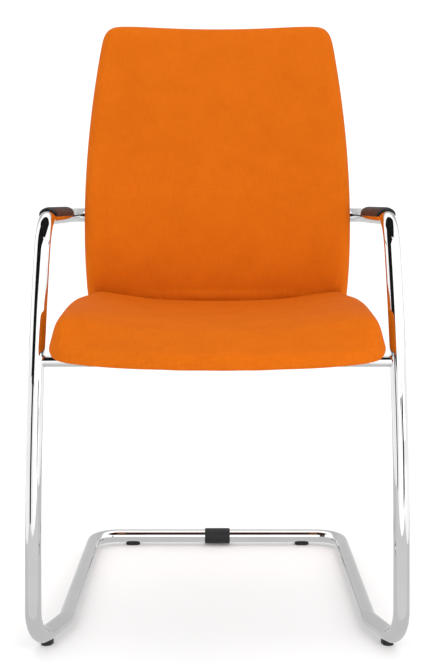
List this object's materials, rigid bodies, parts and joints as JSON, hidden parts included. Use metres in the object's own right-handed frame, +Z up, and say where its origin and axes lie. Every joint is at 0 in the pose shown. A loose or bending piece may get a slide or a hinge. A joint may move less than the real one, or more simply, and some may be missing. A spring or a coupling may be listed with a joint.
{
  "type": "sled base visitor chair",
  "caption": "Cantilever visitor chair on a bent chromed tube sled base, with padded fabric seat and curved back, and armrests with black pads.",
  "frame": {"origin": "centre of the bounding box's underside, on the floor", "axes": "+Z up, the chair faces -Y, and +X is on the right in a view from the front"},
  "size_m": [0.567, 0.7186, 0.9803],
  "materials": {
    "tube_chrome": "bright chromed steel tube",
    "zinc_steel": "zinc plated",
    "black_plastic": "fine grained, matte",
    "orange_fabric": "plain woven upholstery cloth",
    "plywood": "moulded beech plywood, unfinished"
  },
  "bodies": {
    "root": {"frame_left": "tube_chrome", "frame_right": "tube_chrome", "joint_dowel": "zinc_steel", "joint_screw_left": "zinc_steel", "joint_screw_right": "zinc_steel", "joint_sleeve": "black_plastic", "seat_cross_tube": "tube_chrome", "seat_bracket_left": "zinc_steel", "seat_bracket_right": "zinc_steel", "front_glide_left": "black_plastic", "front_glide_right": "black_plastic", "rear_glide_left": "black_plastic", "rear_glide_right": "black_plastic", "arm_pad_left": "black_plastic", "arm_pad_right": "black_plastic", "arm_pad_screw_front_left": "zinc_steel", "arm_pad_screw_front_right": "zinc_steel", "arm_pad_screw_rear_left": "zinc_steel", "arm_pad_screw_rear_right": "zinc_steel", "tube_cap_left": "black_plastic", "tube_cap_right": "black_plastic", "seat_shell": "plywood", "under_panel": "black_plastic", "back_panel": "orange_fabric", "back_spacer_left": "black_plastic", "back_spacer_right": "black_plastic", "seat_screw_front_left": "zinc_steel", "seat_insert_front_left": "zinc_steel", "seat_screw_rear_left": "zinc_steel", "seat_insert_rear_left": "zinc_steel", "seat_screw_front_right": "zinc_steel", "seat_insert_front_right": "zinc_steel", "seat_screw_rear_right": "zinc_steel", "seat_insert_rear_right": "zinc_steel", "back_screw_inner_left": "zinc_steel", "back_insert_inner_left": "zinc_steel", "back_screw_outer_left": "zinc_steel", "back_insert_outer_left": "zinc_steel", "back_screw_inner_right": "zinc_steel", "back_insert_inner_right": "zinc_steel", "back_screw_outer_right": "zinc_steel", "back_insert_outer_right": "zinc_steel", "seat_cushion": "orange_fabric", "back_cushion": "orange_fabric"}
  },
  "joints": []
}
